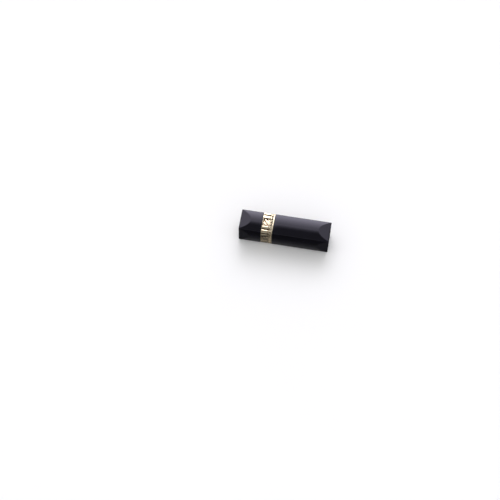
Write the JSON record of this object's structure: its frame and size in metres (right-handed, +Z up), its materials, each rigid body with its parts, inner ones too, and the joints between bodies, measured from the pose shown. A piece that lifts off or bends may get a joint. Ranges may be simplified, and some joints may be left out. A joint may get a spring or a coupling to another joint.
{
  "type": "lipstick case",
  "caption": "Twist-up lipstick case: square arched body in glossy black with cut end facets, embossed gold collar band, inner metal sleeve and pull-off cap.",
  "frame": {"origin": "under the middle of the case, on the surface it lies on", "axes": "+X along the case from the base end to the cap end, +Z up, lying on one arched side"},
  "size_m": [0.08, 0.0218, 0.0218],
  "materials": {
    "black_lacquer": "high-gloss black lacquer with a faint cool tint",
    "gold_band": "pale gold plating, polished relief over darker recesses",
    "gold_sleeve": "pale gold anodised, bright",
    "label_foil": "satin gold foil label, blank",
    "weight_steel": "plain mill finish",
    "black_plastic": "satin moulded black",
    "white_plastic": "natural moulded plastic",
    "silicone": "matt elastomer",
    "lipstick_wax": "satin deep red wax"
  },
  "bodies": {
    "base": {"base_shell": "black_lacquer", "shade_label": "label_foil", "base_weight": "weight_steel", "base_insert": "black_plastic", "inner_body": "white_plastic", "brake_ring": "silicone"},
    "collar": {"collar_band": "gold_band", "collar_core": "black_plastic", "a_shell": "gold_sleeve", "spiral_cam": "black_plastic"},
    "carrier": {"carrier_cup": "white_plastic", "lipstick_bullet": "lipstick_wax"},
    "cap": {"cap_shell": "black_lacquer", "cap_liner": "black_plastic"}
  },
  "joints": [
    {"name": "collar_twist", "type": "hinge", "parent": "base", "child": "collar", "pos_m": [-0.0202, 0, 0.0109], "axis": [1, 0, 0], "range_deg": [0, 360]},
    {"name": "carrier_rise", "type": "slide", "parent": "base", "child": "carrier", "axis": [1, 0, 0], "range_m": [0, 0.0245]},
    {"name": "cap_pull", "type": "slide", "parent": "collar", "child": "cap", "axis": [1, 0, 0], "range_m": [0, 0.055]}
  ],
  "couplings": [
    {"joint": "carrier_rise", "follows": "collar_twist", "m_per_rad": 0.0038992}
  ]
}
